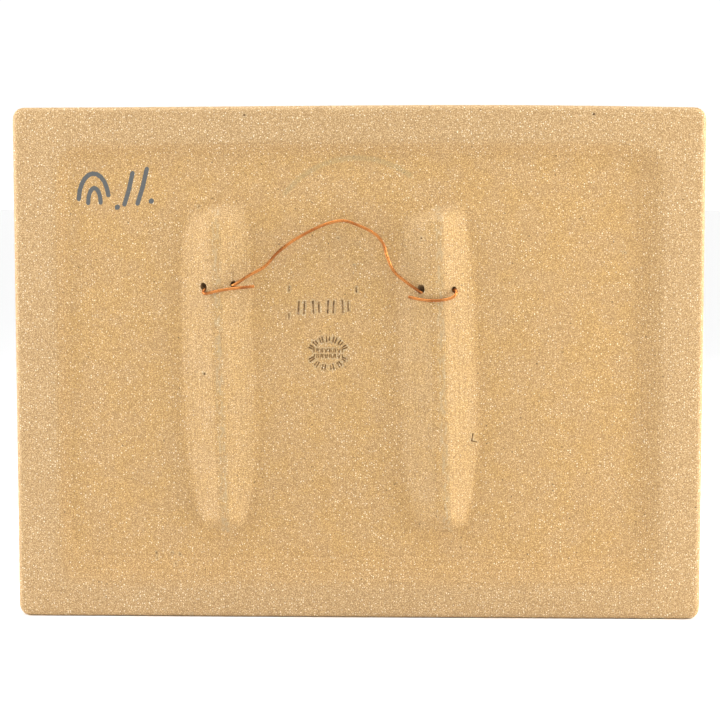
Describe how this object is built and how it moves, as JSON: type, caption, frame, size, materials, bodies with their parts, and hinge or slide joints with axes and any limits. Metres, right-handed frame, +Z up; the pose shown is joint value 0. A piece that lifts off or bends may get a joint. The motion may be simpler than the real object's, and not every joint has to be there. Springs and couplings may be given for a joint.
{
  "type": "wall plaque",
  "caption": "Rectangular stoneware wall plaque with a low leafy relief, a shallow hollow in the back, two upright ribs and a bent copper wire to hang it by.",
  "frame": {"origin": "the point under the crown of the hanging wire, where a nail or a hook bears", "axes": "+Z up as it hangs, +Y out of the back towards the wall, -Y out of the decorated face, +X to the right as seen from the decorated face"},
  "size_m": [0.33, 0.0249, 0.2472],
  "materials": {
    "stoneware": "matte",
    "copper": "satin"
  },
  "bodies": {
    "root": {"plaque": "stoneware", "hanging_wire": "copper"}
  },
  "joints": []
}
